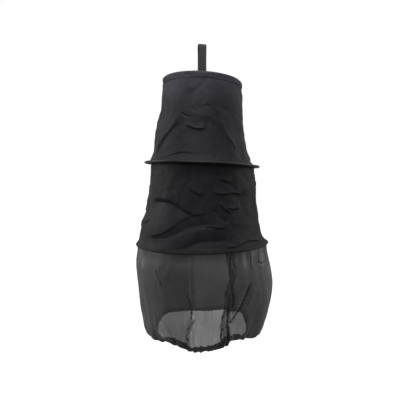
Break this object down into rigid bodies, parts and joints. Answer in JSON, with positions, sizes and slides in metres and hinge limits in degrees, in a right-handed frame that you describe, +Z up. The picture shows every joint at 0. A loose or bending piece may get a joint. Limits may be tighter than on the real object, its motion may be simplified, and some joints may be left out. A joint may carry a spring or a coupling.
{
  "type": "folding hoop trap",
  "caption": "Hanging cloth tube on spring-wire hoops, with a webbing loop, a closed crown and a sheer net skirt gathered to an elastic mouth; it folds flat.",
  "frame": {"origin": "on the axis of the hook or rod that the webbing loop hangs from, at the middle of the webbing's width", "axes": "+Z up along the bag as it hangs, +X to the right along the hook's axis, and the front faces -Y"},
  "size_m": [0.307, 0.307, 0.6605],
  "materials": {
    "cloth": "matte woven",
    "binding": "matte woven, doubled and stitched",
    "webbing": "ribbed webbing",
    "thread": "twisted sewing thread",
    "net": "sheer knitted net",
    "net_gather": "gathered net over elastic",
    "elastic": "covered elastic cord",
    "wire": "drawn spring wire",
    "ferrule": "crimped tube"
  },
  "bodies": {
    "loop": {"hanging_loop": "webbing"},
    "crown": {"loop_tails": "webbing", "box_stitch": "thread", "crown_panel": "cloth", "crown_patch": "cloth", "crown_binding": "binding", "crown_hoop": "wire", "crown_ferrule": "ferrule", "upper_panel": "cloth", "upper_seam": "binding"},
    "upper_ring": {"upper_channel": "binding", "upper_hoop": "wire", "upper_ferrule": "ferrule", "middle_panel": "cloth", "middle_seam": "binding"},
    "lower_ring": {"lower_channel": "binding", "lower_hoop": "wire", "lower_ferrule": "ferrule", "mesh_skirt": "net", "skirt_seam": "binding"},
    "mouth_ring": {"hem_casing": "net_gather", "hem_elastic": "elastic"}
  },
  "joints": [
    {"name": "loop_fold", "type": "hinge", "parent": "loop", "child": "crown", "pos_m": [0, 0, -0.059], "axis": [1, 0, 0], "range_deg": [-80, 80]},
    {"name": "upper_fold", "type": "slide", "parent": "crown", "child": "upper_ring", "axis": [0, 0, 1], "range_m": [0, 0.173], "deforming": ["upper_panel", "upper_seam"]},
    {"name": "middle_fold", "type": "slide", "parent": "upper_ring", "child": "lower_ring", "axis": [0, 0, 1], "range_m": [0, 0.164], "deforming": ["middle_panel", "middle_seam"]},
    {"name": "skirt_fold", "type": "slide", "parent": "lower_ring", "child": "mouth_ring", "axis": [0, 0, 1], "range_m": [0, 0.182], "deforming": ["mesh_skirt", "skirt_seam"]}
  ]
}
